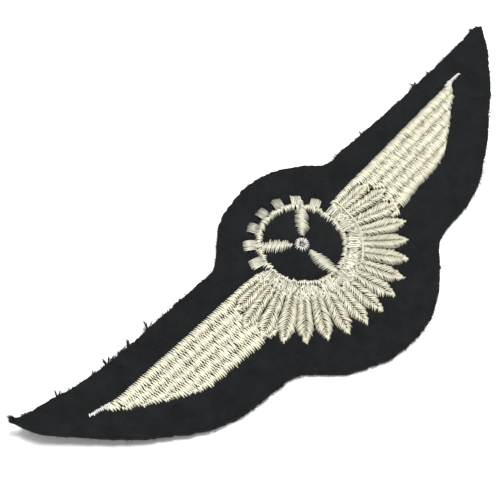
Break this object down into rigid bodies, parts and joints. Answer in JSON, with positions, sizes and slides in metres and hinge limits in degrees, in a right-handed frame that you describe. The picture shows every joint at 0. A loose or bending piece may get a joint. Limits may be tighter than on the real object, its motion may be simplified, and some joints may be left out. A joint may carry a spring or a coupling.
{
  "type": "embroidered cloth wings badge",
  "caption": "Sew-on cloth wings badge: dark felt cut to shape, with a winged cog, a three-blade propeller and a fan of feathers in raised pale stitching.",
  "frame": {"origin": "centre of the propeller's hub, on the back face of the backing", "axes": "+X along the wings towards the wearer's left, +Y towards the top of the badge, +Z out of its face"},
  "size_m": [0.1285, 0.0432, 0.0026],
  "materials": {
    "wool_felt": "matt pressed wool felt, blue-black",
    "backing_fleece": "matt non-woven, charcoal",
    "embroidery_thread": "lustrous twisted thread, cream silver",
    "hub_thread": "lustrous twisted thread, cooler silver",
    "underlay_thread": "lustrous twisted thread in shade",
    "bobbin_thread": "matt spun thread, white"
  },
  "bodies": {
    "root": {"felt_ground": "wool_felt", "backing_fleece": "backing_fleece", "left_wing_row_1": "embroidery_thread", "left_wing_row_2": "embroidery_thread", "left_wing_row_3": "embroidery_thread", "left_wing_row_4": "embroidery_thread", "left_wing_row_5": "embroidery_thread", "left_wing_spike": "embroidery_thread", "right_wing_row_1": "embroidery_thread", "right_wing_row_2": "embroidery_thread", "right_wing_row_3": "embroidery_thread", "right_wing_row_4": "embroidery_thread", "right_wing_row_5": "embroidery_thread", "right_wing_spike": "embroidery_thread", "underlay_left_wing": "underlay_thread", "underlay_right_wing": "underlay_thread", "underlay_cog": "underlay_thread", "cog_ring": "embroidery_thread", "cog_teeth_upper": "embroidery_thread", "cog_teeth_lower": "embroidery_thread", "propeller_blade_left": "embroidery_thread", "propeller_blade_right": "embroidery_thread", "propeller_blade_down": "embroidery_thread", "propeller_hub": "hub_thread", "hub_knot": "hub_thread", "feather_centre": "embroidery_thread", "feather_left_1": "embroidery_thread", "feather_left_2": "embroidery_thread", "feather_left_3": "embroidery_thread", "feather_left_4": "embroidery_thread", "feather_left_5": "embroidery_thread", "feather_left_6": "embroidery_thread", "feather_left_7": "embroidery_thread", "feather_left_8": "embroidery_thread", "feather_right_1": "embroidery_thread", "feather_right_2": "embroidery_thread", "feather_right_3": "embroidery_thread", "feather_right_4": "embroidery_thread", "feather_right_5": "embroidery_thread", "feather_right_6": "embroidery_thread", "feather_right_7": "embroidery_thread", "feather_right_8": "embroidery_thread", "fan_tie_thread": "embroidery_thread", "bobbin_left_wing": "bobbin_thread", "bobbin_right_wing": "bobbin_thread", "bobbin_cog": "bobbin_thread", "bobbin_propeller": "bobbin_thread", "bobbin_fan": "bobbin_thread"}
  },
  "joints": []
}
